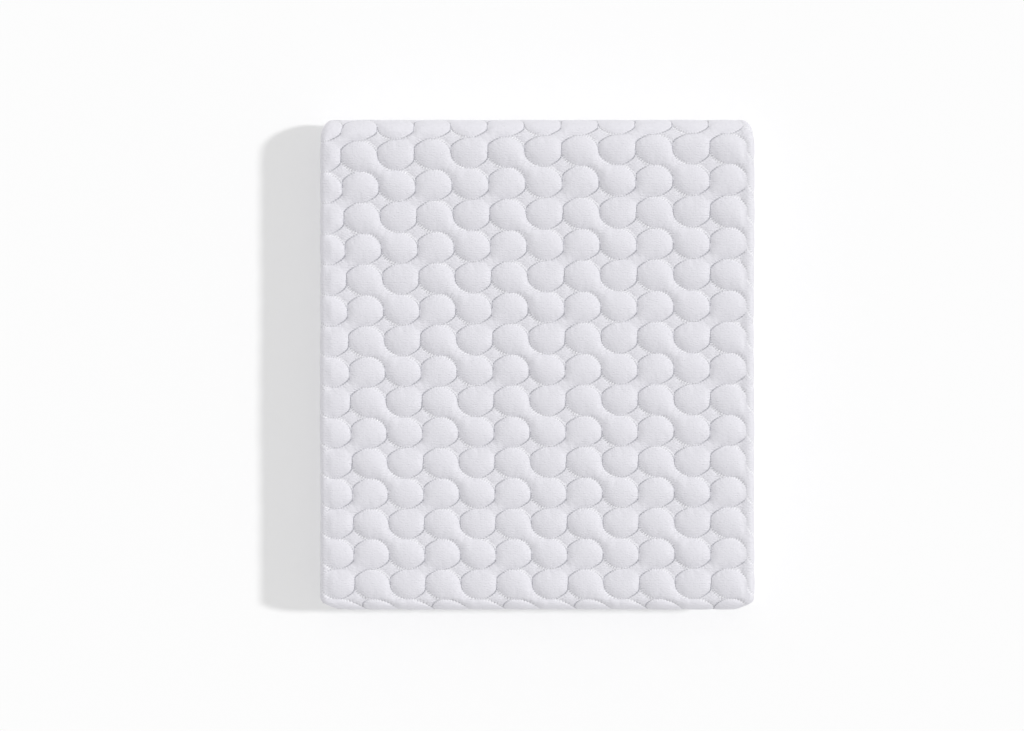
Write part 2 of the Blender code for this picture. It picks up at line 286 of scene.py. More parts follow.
    def place(self, across: ndarray, along: ndarray, reach: ndarray, bound: float) -> ndarray:
        """Points of the folded sheet.

        Args:
            across: Places across the sheet.
            along: Places along the sheet.
            reach: Distances from the leaf's core.
            bound: Distance from the core at a bound long edge.

        Returns:
            The points, with X, Y and Z as the last axis.
        """
        y, z, face_y, face_z, draw = self.core(along)
        out = np.abs(across)
        turn = self.roll_turn(out)
        flap = np.maximum(out - self.core_half - self.roll_length, 0)
        depth = reach + (bound - reach) * (flap / (self.core_half - self.slit_half))
        n = depth * np.cos(turn)
        near = np.clip((out - self.core_half) / self.corner_reach + 1, 0, 1)
        drawn = draw * (1 + n / self.leaf_half) / 2 * ease(near)
        x = np.minimum(out, self.core_half) - flap + depth * np.sin(turn) - drawn
        return joined(np.sign(across) * x, y + n * face_y, z + n * face_z)


@dataclass(frozen=True)
class Rim:
    """The sewn outline of a cell: a circle that the drawn thread pulls a little angular.

    Each wave says how often it comes round the cell, its share of the radius and its lead.
    The outline stops at the cell's square, so that neighbours share a straight side.
    """

    base: float = 1.012
    waves: tuple[tuple[int, float, float], ...] = (
        (2, 0.020, 1.09), (4, 0.020, 0.65), (6, 0.012, 2.65))

    def at(self, turn: ndarray) -> ndarray:
        """Distance of the outline from the middle of its cell, as a share of the radius."""
        wavy = self.base + sum(share * np.cos(times * turn - lead)
                               for times, share, lead in self.waves)
        return np.minimum(wavy, 1 / np.maximum(np.abs(np.cos(turn)), np.abs(np.sin(turn))))


@dataclass(frozen=True)
class Quilting:
    """The lattice of sewn cells, and the relief that it gives the cloths.

    Column 5 and row 7 lie near the middle of the top panel, and rows are counted towards the
    front. middle_x to eight_rows and the drift are in millimetres. The drift is a sum: each
    inner row of it is for a power of the columns, counted from the middle in sixes, and each
    number there for a power of the rows, in eights. Each wave has its share, its turns across
    and along, and its lead where it has one.
    """

    plan: FoldPlan
    rim: Rim = Rim()
    middle_x: float = 10.35
    middle_y: float = -6.00
    six_columns: float = 224.8
    eight_rows: float = 257.1
    columns_drifting: tuple[float, float] = (-1.02, 0.92)
    rows_drifting: tuple[float, float] = (-0.91, 0.92)
    drift_across: tuple[tuple[float, ...], ...] = (
        (0, 3.4, -0.9, 1.0), (0, -4.5, 1.6, 0), (1, 0, 0, 0))
    drift_along: tuple[tuple[float, ...], ...] = (
        (0, 0, 3.0), (2.5, -2.6, 0.6), (-0.6, 1.4, 0), (-0.3, 0, 0))
    drift_tries: int = 5
    front_shear: float = 0.50
    crown: float = 0.0025
    channel: float = 0.0026
    side_crown: float = 0.0003
    side_channel: float = 0.0004
    dome_power: float = 0.62
    gap_share: float = 0.50
    plump_waves: tuple[tuple[float, ...], ...] = ((0.07, 1.9, 0.8), (0.06, -1.0, 2.7))
    slow_waves: tuple[tuple[float, ...], ...] = ((1.0, 19, 11, 0.4), (0.7, -13, 31, 0.0))
    slow_height: float = 0.0003
    slow_reach: float = 0.15
    calm_left: float = 0.2125
    calm_right: float = 0.2100
    calm_width: float = 0.0090
    calm_end: float = 0.014
    calm_flap: float = 0.010
    samples: int = 48
    settle_steps: int = 4500
    line_half: float = 0.6
    cloth_share: float = 0.35
    cloth_cells: int = 4
    cloth_samples: int = 24
    cloth_cell: float = 0.100
    cloth_frames: int = 20
    cloth_quality: int = 5
    cloth_mass: float = 0.15
    cloth_pressure: float = 60.0
    cloth_spare: float = 0.03
    cloth_stiffness: float = 10.0
    cloth_full: float = 98
    cloth_highest: float = 1.1

    @property
    def cell_mm(self) -> tuple[float, float]:
        """Width and length of a cell."""
        return self.six_columns / 6, self.eight_rows / 8

    def drift(self, u: ndarray, v: ndarray) -> tuple[ndarray, ndarray]:
        """How far the needle's path is off the regular lattice, across and along."""
        u, v = np.clip(u, *self.columns_drifting), np.clip(v, *self.rows_drifting)
        return polyval2d(u, v, self.drift_across), polyval2d(u, v, self.drift_along)

    def shear(self, along: ndarray) -> ndarray:
        """How far cells at places along slip to the right on their way round the front."""
        past = np.clip(self.plan.front_fold - along, 0, self.plan.front_arc)
        return self.front_shear * past

    def cell(self, across: ndarray, along: ndarray) -> tuple[ndarray, ndarray]:
        """Column and row of places on the sheet.

        Args:
            across: Places across the sheet.
            along: Places along the sheet.

        Returns:
            Columns and rows, which are whole numbers at the middle of a cell.
        """
        x = (across - self.shear(along)) / MM - self.middle_x
        x, y = np.broadcast_arrays(x, along / MM - self.middle_y)
        off_x = off_y = 0
        for _ in range(self.drift_tries + 1):
            u = (x - off_x) / self.six_columns
            v = (off_y - y) / self.eight_rows
            off_x, off_y = self.drift(u, v)
        return 5 + 6 * u, 7 + 8 * v

    def spot(self, column: ndarray, row: ndarray) -> tuple[ndarray, ndarray]:
        """Places on the sheet of a column and row, the other way round from cell().

        Args:
            column: Columns.
            row: Rows.

        Returns:
            Places across and along the sheet.
        """
        u, v = (column - 5) / 6, (row - 7) / 8
        off_x, off_y = self.drift(u, v)
        along = (self.middle_y - self.eight_rows * v + off_y) * MM
        across = (self.middle_x + self.six_columns * u + off_x) * MM
        return across + self.shear(along), along

    def needle(self, column: ndarray, row: ndarray, turn: ndarray) -> tuple[ndarray, ndarray]:
        """Where the needle's path is on the sheet, at turns round cells."""
        radius = 0.5 * self.rim.at(turn)
        return self.spot(column + radius * np.cos(turn), row + radius * np.sin(turn))

    def is_open(self, column: ndarray, row: ndarray) -> ndarray:
        """Whether places lie in the unsewn quarter, where a cell is open to its partner.

        Args:
            column: Columns.
            row: Rows.

        Returns:
            True where a cell is open.
        """
        mid_column, mid_row = np.round(column), np.round(row)
        right = (column - mid_column) * np.cos(math.pi * mid_row)
        front = (row - mid_row) * np.cos(math.pi * mid_column)
        return np.minimum(right, front) > 0

    def away(self, column: ndarray, row: ndarray) -> ndarray:
        """Distance from the middle of the cell, where the outline is at 0.5."""
        right, front = column - np.round(column), row - np.round(row)
        return np.hypot(right, front) / self.rim.at(np.arctan2(front, right))

    def is_sewn(self, column: ndarray, row: ndarray, width: float) -> ndarray:
        """Whether places lie on the stitch line, to a width in cells on either side."""
        return (np.abs(self.away(column, row) - 0.5) < width) & ~self.is_open(column, row)

    def blow_up(self) -> ndarray:
        """Blows up a patch of cloth between its stitches with Blender's Cloth.

        The patch is larger than life, which Cloth handles better, and is sewn and rimmed
        by pinned points. Its inner 2 by 2 cells are the repeat.

        Returns:
            Heights from 0 to about 1 at the dome map's places, by row and column.
        """
        count = self.cloth_cells * self.cloth_samples
        mesh = new_mesh("cloth_patch", bmesh.ops.create_grid, x_segments=count,
                        y_segments=count, size=0.5)
        flat = points_of(mesh)
        column = (flat[:, 0] + 0.5) * self.cloth_cells
        row = (0.5 - flat[:, 1]) * self.cloth_cells
        pinned = self.is_sewn(column, row, self.line_half / self.cloth_samples)
        pinned |= np.abs(flat[:, :2]).max(axis=1) > 0.5 - 0.5 / count
        wide, high = self.cell_mm
        side = self.cloth_cells * self.cloth_cell
        mesh.vertices.foreach_set("co", (flat * (side, side * high / wide, 1)).ravel())
        patch = add_object("cloth_patch", mesh)
        group = patch.vertex_groups.new(name="sewn")
        group.add([int(index) for index in np.nonzero(pinned)[0]], 1.0, "REPLACE")
        cloth = patch.modifiers.new("swell", "CLOTH")
        for name, value in (("vertex_group_mass", group.name), ("quality", self.cloth_quality),
                            ("mass", self.cloth_mass), ("use_pressure", True),
                            ("bending_stiffness", self.cloth_stiffness),
                            ("uniform_pressure_force", self.cloth_pressure),
                            ("shrink_min", -self.cloth_spare)):
            setattr(cloth.settings, name, value)
        cloth.settings.effector_weights.gravity = 0.0
        cloth.collision_settings.use_collision = False
        cloth.point_cache.frame_start = 1
        cloth.point_cache.frame_end = self.cloth_frames
        for moment in range(1, self.cloth_frames + 1):
            bpy.context.scene.frame_set(moment)
        blown = worked_out(patch)
        bpy.context.scene.frame_set(1)
        heights = np.zeros((count + 1, count + 1))
        heights[np.rint(row * self.cloth_samples).astype(int),
                np.rint(column * self.cloth_samples).astype(int)] = points_of(blown)[:, 2]
        bpy.data.meshes.remove(blown)
        half, size = self.cloth_samples // 2, 2 * self.cloth_samples
        heights = np.roll(heights[half:half + size, half:half + size], half, axis=(0, 1))
        at = (np.arange(2 * self.samples) + 0.5) * self.cloth_samples / self.samples
        heights = wrapped(heights, at[None, :], at[:, None])
        return np.clip(heights / np.percentile(heights, self.cloth_full), 0, self.cloth_highest)

    @cached_property
    def domes(self) -> ndarray:
        """Heights of a skin that is blown up between the stitches, over a 2 by 2 repeat.

        A smooth skin that is worked out in code has the photo's domes. A share of Cloth's
        result gives them the creases of a fabric.

        Returns:
            Heights from 0 to 1, by row and column.
        """
        places = (np.arange(2 * self.samples) + 0.5) / self.samples
        row, column = np.meshgrid(places, places, indexing="ij")
        free = ~self.is_sewn(column, row, self.line_half / self.samples)
        high, wide = (size ** 2 for size in self.cell_mm)
        skin = np.zeros_like(row)
        for _ in range(self.settle_steps):
            beside = np.roll(skin, 1, 1) + np.roll(skin, -1, 1)
            above = np.roll(skin, 1, 0) + np.roll(skin, -1, 0)
            skin = free * (1 + wide * beside + high * above) / (2 * (wide + high))
        # A neck is where one of the four cells round a gap is open to it.
        neck = np.zeros_like(free)
        for right in (0.4, 0.6):
            for front in (0.4, 0.6):
                neck |= self.is_open(np.floor(column) + right, np.floor(row) + front)
        gap = np.where((self.away(column, row) > 0.5) & ~neck, self.gap_share, 1.0)
        domes = (gap * skin / skin.max()) ** self.dome_power
        creased = self.blow_up() * gap ** self.dome_power
        domes = (1 - self.cloth_share) * domes + self.cloth_share * creased
        for axis in (0, 1):
            domes = (np.roll(domes, 1, axis) + 2 * domes + np.roll(domes, -1, axis)) / 4
        return domes

    def dome(self, column: ndarray, row: ndarray) -> ndarray:
        """Height of the quilting at places of the lattice.

        Args:
            column: Columns.
            row: Rows.

        Returns:
            Heights from 0 in a channel to about 1 on a crown.
        """
        plump = sum((share * np.sin(wide * column + high * row)
                     for share, wide, high in self.plump_waves), 1)
        x, y = column * self.samples - 0.5, row * self.samples - 0.5
        return wrapped(self.domes, x, y) * plump

    def lift(self, across: ndarray, along: ndarray) -> ndarray:
        """How far the face stands out from the leaf, as the cells puff up between stitches.

        Cells that lie on the floor or on another leaf are pressed flat.

        Args:
            across: Places across the sheet.
            along: Places along the sheet.

        Returns:
            Heights over the leaf's surface, under 0 in the channels.
        """
        plan = self.plan
        out = np.abs(across)
        _, bottom, back, front, inner_leaf, *_ = plan.marks
        on_back = np.clip((along - back) / (bottom - back), 0, 1)
        on_front = np.clip((front - along) / (front - inner_leaf), 0, 1)
        folded = math.pi * np.maximum(on_back, on_front)
        calm_from = np.where(across > 0, self.calm_right, self.calm_left)
        side = np.clip((out - calm_from) / self.calm_width, 0, 1)
        upper = (1 - ease(side)) * np.maximum(np.cos(folded), 0) ** 2
        lower = np.maximum(-np.cos(np.maximum(plan.roll_turn(out), folded)), 0)
        crown = self.side_crown * (1 - lower) + (self.crown - self.side_crown) * upper
        channel = self.side_channel + (self.channel - self.side_channel) * upper
        height = self.dome(*self.cell(across, along))
        sunk = np.where(lower > 0, np.maximum(1 - height, 0), 1 - height)
        flap = out - plan.core_half - plan.roll_length
        fade = np.clip(plan.from_end(along) / self.calm_end - 1, 0, 1)
        fade = fade * np.clip(2 - flap / self.calm_flap, 0, 1)
        return (crown * height - channel * sunk) * fade

    def undulate(self, across: ndarray, along: ndarray) -> ndarray:
        """Slow rise and fall of the top panel, as it settles on the leaves under it.

        Args:
            across: Places across the sheet.
            along: Places along the sheet.

        Returns:
            Heights, from about -0.5 to 0.5 mm.
        """
        waves = sum(share * np.sin(wide * across + high * along + lead)
                    for share, wide, high, lead in self.slow_waves)
        return self.slow_height * waves * np.clip(2 - np.abs(along) / self.slow_reach, 0, 1)


def linear(colour: str) -> tuple[float, float, float, float]:
    """Turns an sRGB hex colour to linear light.

    Args:
        colour: Six hex digits after a hash sign.

    Returns:
        Linear red, green and blue, and an alpha of 1.
    """
    shares = [int(colour[start:start + 2], 16) / 255 for start in (1, 3, 5)]
    light = [share / 12.92 if share <= 0.04045 else ((share + 0.055) / 1.055) ** 2.4
             for share in shares]
    return light[0], light[1], light[2], 1.0


def feed(node: Node, inputs: dict) -> None:
    """Gives a shader node's inputs their values, or links them to what feeds them.

    Args:
        node: The node.
        inputs: For each input, by name or place, a value, a socket, or a node whose first
            output in use feeds it.
    """
    for name, value in inputs.items():
        if isinstance(value, Node):
            value = next(output for output in value.outputs if output.enabled)
        if isinstance(value, NodeSocket):
            node.id_data.links.new(value, node.inputs[name])
        else:
            node.inputs[name].default_value = value


def add_node(tree: NodeTree, kind: str, settings: dict, inputs: dict) -> Node:
    """Adds a shader node with its settings and links.

    Args:
        tree: The tree that the node goes into.
        kind: Blender's name of the node type, without its ShaderNode.
        settings: Properties of the node by name.
        inputs: What feed() is given.

    Returns:
        The new node.
    """
    node = tree.nodes.new("ShaderNode" + kind)
    for name, value in settings.items():
        setattr(node, name, value)
    feed(node, inputs)
    return node


RULE_NODES = {
    "COMBINE": ("CombineXYZ", {}),
    "LENGTH": ("VectorMath", {"operation": "LENGTH"}),
    "LINEAR": ("MapRange", {"interpolation_type": "LINEAR"}),
    "SMOOTHSTEP": ("MapRange", {"interpolation_type": "SMOOTHSTEP"})}


def band_scale(spacing_mm: float) -> float:
    """Scale of a Wave Texture whose bands are so many millimetres apart."""
    return math.pi / 10 / (spacing_mm * MM)


def noise_scale(size_mm: float) -> float:
    """Scale of a Noise Texture whose blots are so many millimetres wide."""
    return 1 / (size_mm * MM)


@dataclass(frozen=True)
class Finish:
    """A cloth finish: its name, colour, roughness, softness of fibre ends, and gloss.

    Its pattern gives the relief, which is so many millimetres deep and so strong.
    """

    name: str
    colour: str
    roughness: float
    sheen: float
    gloss: float
    relief_mm: float = 1.0
    relief_share: float = 1.0

    def pattern(self, tree: NodeTree) -> tuple[NodeSocket | Node, Node | None]:
        """Adds the pattern's nodes, which each finish has of its own.

        Args:
            tree: The material's tree.

        Returns:
            What gives the relief's height, and what gives the colour if it isn't even.
        """
        raise NotImplementedError

    def make(self) -> Material:
        """Makes the material.

        Returns:
            The material.
        """
        material = bpy.data.materials.new(self.name)
        material.use_nodes = True
        tree = material.node_tree
        shader = tree.nodes["Principled BSDF"]
        feed(shader, {"Base Color": linear(self.colour), "Roughness": self.roughness,
                      "Sheen Weight": self.sheen, "Sheen Roughness": 0.5,
                      "Specular IOR Level": self.gloss})
        height, colour = self.pattern(tree)
        if colour:
            feed(shader, {"Base Color": colour})
        feed(shader, {"Normal": add_node(tree, "Bump", {}, {
            "Strength": self.relief_share, "Distance": self.relief_mm * MM, "Height": height})})
        return material


@dataclass(frozen=True)
class QuiltedKnit(Finish):
    """Polyester knit, quilted: a soft white face with fine ribs across it.

    The stitch line is a tight crease on one slant, painted dark there as shade where light
    doesn't reach into it, and on the other the knit gathers in ridges between the stitches,
    with painted highlight on their walls. The real ribs and loops are 0.4 to 0.7 mm apart, too
    fine to show, so the ribs are drawn 1.9 mm apart, the courses 3.0 mm and the loops 1.1 mm.
    """

    rim: Rim = Rim()
    rib_mm: float = 1.9
    course_mm: float = 3.0
    rib_depth: float = 0.03
    course_depth: float = 0.08
    loop_mm: float = 1.1
    loop_stretch: float = 0.35
    loop_depth: float = 0.62
    half_cell_mm: float = 17.5
    # The crease is too narrow for the mesh to shade, so its shade is painted in a darker
    # colour, mixed in by channel_shade.
    channel_shade_colour: str = "#B4B4BE"
    channel_width_mm: float = 0.52
    channel_depth: float = 0.80
    channel_shade: float = 0.95
    loose_share: float = 0.10
    pit_width_mm: float = 1.3
    pit_depth: float = 0.9
    # Painted highlight: a paler colour on the ridges between the stitches, where light catches
    # their walls.
    ridge_highlight_colour: str = "#FAFAFC"
    ridge_highlight_width_mm: float = 1.7
    ridge_highlight: float = 0.62
    # The crease's bump and painted shade fade where the cloth turns in at the sides, sooner on
    # the right, which faces the light.
    turned_in: tuple[float, float] = (0.2155, 0.2195)
    right_turned_in: tuple[float, float] = (0.2125, 0.2170)
    turned_share: float = 0.20
    stitches: int = 10
    pucker_depth: float = 0.55
    pucker_reach_mm: float = 2.8
    pucker_close: float = -0.08
    beyond_share: float = 0.2
    least_gathered: float = 0.30
    uneven_mm: float = 2.5
    uneven_turn: float = 2.2

    def rules(self) -> list[tuple]:
        """How the pattern follows from the place in the lattice.

        Returns:
            Rules in order: a name, what to do, and the values or names before it to do it
            with. A name that comes again takes the new value.
        """
        rules = [
            ("mid_column", "ROUND", "column"),
            ("mid_row", "ROUND", "row"),
            ("right", "SUBTRACT", "column", "mid_column"),
            ("front", "SUBTRACT", "row", "mid_row"),
            ("place", "COMBINE", "right", "front"),
            ("away", "LENGTH", "place"),
            ("column_turn", "MULTIPLY", "mid_column", math.pi),
            ("row_turn", "MULTIPLY", "mid_row", math.pi),
            ("column_sign", "COSINE", "column_turn"),
            ("row_sign", "COSINE", "row_turn"),
            ("to_right", "MULTIPLY", "right", "row_sign"),
            ("to_front", "MULTIPLY", "front", "column_sign"),
            ("opening", "MINIMUM", "to_right", "to_front"),
            ("sewn", "LESS_THAN", "opening", 0.0),
            ("turn", "ARCTAN2", "front", "right")]
        for times, share, lead in self.rim.waves:
            rules += [("swing", "MULTIPLY_ADD", "turn", times, -lead),
                      ("wave", "COSINE", "swing"),
                      ("rim", "MULTIPLY_ADD", "wave", share, "rim")]
        rules.append(("radii", "DIVIDE", "away", "rim"))
        for distance in ("right", "front"):
            rules += [("far_out", "ABSOLUTE", distance),
                      ("radii", "MAXIMUM", "radii", "far_out")]
        rules += [
            ("off_line", "MULTIPLY_ADD", "radii", 2 * self.half_cell_mm,
             -self.half_cell_mm),
            ("out", "ABSOLUTE", "across"),
            ("facing", "LINEAR", "out", *self.turned_in, 1.0, self.turned_share),
            ("right_facing", "LINEAR", "across", *self.right_turned_in, 1.0,
             self.turned_share),
            # On one slant the crease is tight and painted dark as shade; on the other it is
            # loose, with painted highlight on its ridges.
            ("bias_turn", "MULTIPLY_ADD", "turn", 2.0, -TIGHT_TURN),
            ("bias", "COSINE", "bias_turn"),
            ("tight", "LINEAR", "bias", -1.0, 1.0, self.loose_share, 1.0),
            ("loose", "LINEAR", "bias", -1.0, 1.0, 1.0, self.least_gathered)]
        for name, width_mm in (("line", self.channel_width_mm), ("pit_wall", self.pit_width_mm),
                               ("band", self.ridge_highlight_width_mm)):
            rules += [("width", "DIVIDE", "off_line", width_mm),
                      ("square", "MULTIPLY", "width", "width"),
                      ("fall", "MULTIPLY", "square", -1.0),
                      (name, "EXPONENT", "fall")]
        return rules + [
            ("channel", "MULTIPLY", "line", "sewn"),
            ("shown", "MULTIPLY", "channel", "facing"),
            ("clear", "MULTIPLY", "shown", "right_facing"),
            ("groove", "MULTIPLY", "clear", "tight"),
            ("stitch_turn", "MULTIPLY", "turn", 4.0 * self.stitches),
            ("pucker_turn", "MULTIPLY_ADD", "uneven", self.uneven_turn, "stitch_turn"),
            ("pucker_wave", "COSINE", "pucker_turn"),
            ("closed", "SMOOTHSTEP", "opening", self.pucker_close, 0.0, 1.0, 0.0),
            ("gathered", "MULTIPLY", "closed", "loose"),
            ("far", "ABSOLUTE", "off_line"),
            ("reach", "DIVIDE", "far", -self.pucker_reach_mm),
            ("gather", "EXPONENT", "reach"),
            ("beyond", "LINEAR", "off_line", -1.0, 1.0, self.beyond_share, 1.0),
            ("outer_gather", "MULTIPLY", "gather", "beyond"),
            ("puckers", "MULTIPLY", "pucker_wave", "outer_gather"),
            ("needle", "MULTIPLY_ADD", "pucker_wave", 0.5, 0.5),
            ("pits", "MULTIPLY", "pit_wall", "needle"),
            ("sunk", "MULTIPLY", "pits", -self.pit_depth),
            ("drawn", "MULTIPLY_ADD", "puckers", self.pucker_depth, "sunk"),
            ("pulled", "MULTIPLY", "drawn", "gathered"),
            ("ribbed", "MULTIPLY_ADD", "ribs", self.rib_depth, "pulled"),
            ("woven", "MULTIPLY_ADD", "courses", self.course_depth, "ribbed"),
            ("fluffy", "MULTIPLY_ADD", "loops", self.loop_depth, "woven"),
            ("height", "MULTIPLY_ADD", "groove", -self.channel_depth, "fluffy"),
            # Painted shade in the crease.
            ("shade", "MULTIPLY", "groove", self.channel_shade),
            # Painted highlight on the ridges between the stitches.
            ("between", "MULTIPLY_ADD", "pucker_wave", -0.5, 0.5),
            ("ridges", "MULTIPLY", "band", "between"),
            ("lit_ridges", "MULTIPLY", "ridges", "gathered"),
            ("highlight", "MULTIPLY", "lit_ridges", self.ridge_highlight)]

    def pattern(self, tree: NodeTree) -> tuple[NodeSocket | Node, Node | None]:
        """Adds the ribs, the loops and the stitch line with its puckers, painted shade and
        painted highlight.

        Args:
            tree: The material's tree.

        Returns:
            What gives the relief's height, and what gives the colour.
        """
        lattice = add_node(tree, "UVMap", {"uv_map": Map.LATTICE.value}, {})
        cloth = add_node(tree, "UVMap", {"uv_map": Map.CLOTH.value}, {})
        cell, sheet = (add_node(tree, "SeparateXYZ", {}, {0: source})
                       for source in (lattice, cloth))
        ribs, courses = (
            add_node(tree, "TexWave", {"wave_type": "BANDS", "bands_direction": way},
                     {"Vector": cloth, "Scale": band_scale(spacing), "Distortion": 3.0,
                      "Detail": 2.0, "Detail Scale": 1.5})
            for way, spacing in (("X", self.rib_mm), ("Y", self.course_mm)))
        wide = add_node(tree, "Mapping", {},
                        {"Vector": cloth, "Scale": (self.loop_stretch, 1.0, 1.0)})
        uneven, loops = (
            add_node(tree, "TexNoise", {},
                     {"Vector": source, "Scale": noise_scale(size), "Detail": 1.0})
            for source, size in ((cloth, self.uneven_mm), (wide, self.loop_mm)))
        known = {"column": cell.outputs[0], "row": cell.outputs[1], "rim": self.rim.base,
                 "across": sheet.outputs[0], "ribs": ribs.outputs["Fac"],
                 "courses": courses.outputs["Fac"], "uneven": uneven, "loops": loops}
        for name, rule, *values in self.rules():
            kind, settings = RULE_NODES.get(rule, ("Math", {"operation": rule}))
            fed = dict(enumerate(known.get(value, value) for value in values))
            known[name] = add_node(tree, kind, settings, fed)
        # Over the knit's own colour: painted shade in the crease, then painted highlight on the
        # ridges.
        colour = linear(self.colour)
        for share, over in (("shade", self.channel_shade_colour), ("highlight", self.ridge_highlight_colour)):
            colour = add_node(tree, "Mix", {"data_type": "RGBA"},
                              {0: known[share], 6: colour, 7: linear(over)})
        return known["height"], colour


@dataclass(frozen=True)
class PlainCloth(Finish):
    """A matt cloth of straight threads: knit backing, woven tape or ribbed elastic.

    To the eye it is an even white with a fine grain, greyer between the threads. Threads
    finer than about 1 mm are drawn coarser, so that they show.
    """

    across_mm: float = 1.2
    along_mm: float = 1.2
    depth: float = 0.05
    fluff: float = 0.05
    fluff_per_mm: float = 0.6
    shadow_colour: str = "#CFCFD4"

    def pattern(self, tree: NodeTree) -> tuple[NodeSocket | Node, Node | None]:
        """Adds the threads and their fluff.

        Args:
            tree: The material's tree.

        Returns:
            What gives the relief's height, and what gives the colour.
        """
        cloth = add_node(tree, "UVMap", {"uv_map": Map.CLOTH.value}, {})
        ribs, courses = (
            add_node(tree, "TexWave", {"wave_type": "BANDS", "bands_direction": way},
                     {"Vector": cloth, "Scale": band_scale(spacing), "Distortion": 0.5})
            for way, spacing in (("X", self.across_mm), ("Y", self.along_mm)))
        weave = add_node(tree, "Math", {"operation": "MULTIPLY"},
                         {0: ribs.outputs["Fac"], 1: courses.outputs["Fac"]})
        fluff = add_node(tree, "TexNoise", {}, {
            "Vector": cloth, "Scale": self.fluff_per_mm / MM, "Detail": 3.0})
        fluffy = add_node(tree, "Math", {"operation": "MULTIPLY"}, {0: fluff, 1: self.fluff})
        height = add_node(tree, "Math", {"operation": "MULTIPLY_ADD"},
                          {0: weave, 1: self.depth, 2: fluffy})
        return height, add_node(tree, "Mix", {"data_type": "RGBA"}, {
            0: weave, 6: linear(self.shadow_colour), 7: linear(self.colour)})


@dataclass(frozen=True)
class Wadding(Finish):
    """Loose polyester fibre: wholly matt and cloudy, with fine strands."""

    relief_mm: float = 0.5
    cloud_mm: float = 6.0
    strand_mm: float = 0.8
    shadow_colour: str = "#D9D9DA"

    def pattern(self, tree: NodeTree) -> tuple[NodeSocket | Node, Node | None]:
        """Adds the clouds and strands, on Object coordinates.

        Args:
            tree: The material's tree.

        Returns:
            What gives the relief's height, and what gives the colour.
        """
        places = add_node(tree, "TexCoord", {}, {}).outputs["Object"]
        clouds = add_node(tree, "TexNoise", {}, {
            "Vector": places, "Scale": noise_scale(self.cloud_mm), "Detail": 4.0})
        strands = add_node(tree, "TexNoise", {}, {
            "Vector": places, "Scale": noise_scale(self.strand_mm), "Distortion": 2.0})
        height = add_node(tree, "Math", {"operation": "ADD"}, {0: clouds, 1: strands})
        return height, add_node(tree, "Mix", {"data_type": "RGBA"}, {
            0: clouds, 6: linear(self.shadow_colour), 7: linear(self.colour)})


@dataclass(frozen=True)
class TwistedThread(Finish):
    """Polyester sewing thread: brighter than the knit, a little shiny, slanted by its twist."""

    relief_mm: float = 0.05
    relief_share: float = 0.5
    twist_mm: float = 0.5

    def pattern(self, tree: NodeTree) -> tuple[NodeSocket | Node, Node | None]:
        """Adds the twist, on Object coordinates.

        Args:
            tree: The material's tree.

        Returns:
            What gives the relief's height, and nothing for the even colour.
        """
        places = add_node(tree, "TexCoord", {}, {}).outputs["Object"]
        twist = add_node(tree, "TexWave", {"wave_type": "BANDS", "bands_direction": "DIAGONAL"},
                         {"Vector": places, "Scale": band_scale(self.twist_mm)})
        return twist.outputs["Fac"], None


def new_mesh(name: str, create: Callable, **sizes: float) -> Mesh:
    """Makes a mesh.

    Args:
        name: Its name.
        create: The bmesh operator that makes its shape.
        sizes: The operator's settings.

    Returns:
        The mesh.
    """
    shape = bmesh.new()
    create(shape, **sizes)
    mesh = bpy.data.meshes.new(name)
    shape.to_mesh(mesh)
    shape.free()
    return mesh


def points_of(mesh: Mesh) -> ndarray:
    """X, Y and Z of a mesh's vertices, one vertex to a row."""
    flat = np.empty(3 * len(mesh.vertices))
    mesh.vertices.foreach_get("co", flat)
    return flat.reshape(-1, 3)


def add_object(name: str, data: bpy.types.ID) -> Object:
    """Puts a mesh, lamp or camera in the scene.

    Args:
        name: Name of the object.
        data: The mesh, lamp or camera.

    Returns:
        The object.
    """
    item = bpy.data.objects.new(name, data)
    bpy.context.scene.collection.objects.link(item)
    return item


def worked_out(pattern: Object) -> Mesh:
    """Takes what an object's modifiers make of it, and removes the object.

    Args:
        pattern: The object.

    Returns:
        The new mesh.
    """
    seen = pattern.evaluated_get(bpy.context.evaluated_depsgraph_get())
    made, old = bpy.data.meshes.new_from_object(seen), pattern.data
    bpy.data.objects.remove(pattern, do_unlink=True)
    bpy.data.meshes.remove(old)
    return made


def close_tube(mesh: Mesh, rows: int, columns: int) -> None:
    """Welds the last column of a grid to its first and closes both ends, faces out.

    Args:
        mesh: The grid.
        rows: Its rows of points.
        columns: Its columns of points.
    """
    tube = bmesh.new()
    tube.from_mesh(mesh)
    tube.verts.ensure_lookup_table()
    pairs = {tube.verts[row * columns + columns - 1]: tube.verts[row * columns]
             for row in range(rows)}
    bmesh.ops.weld_verts(tube, targetmap=pairs)
    rim = [edge for edge in tube.edges if edge.is_boundary]
    caps = bmesh.ops.holes_fill(tube, edges=rim, sides=0)["faces"]
    caps = bmesh.ops.triangulate(tube, faces=caps, ngon_method="EAR_CLIP")["faces"]
    bake = tube.loops.layers.uv.get(Map.BAKE.value)
    for face in caps:
        for loop in face.loops:
            x, y, z = loop.vert.co
            # The caps lie in the strip that the cloth leaves free at the top of the map.
            loop[bake].uv = (0.5 + x, 0.985 + 0.1 * z + 0.001 * (y > 0))
    bmesh.ops.recalc_face_normals(tube, faces=tube.faces[:])
    for face in tube.faces:
        face.smooth = True
    tube.to_mesh(mesh)
    tube.free()


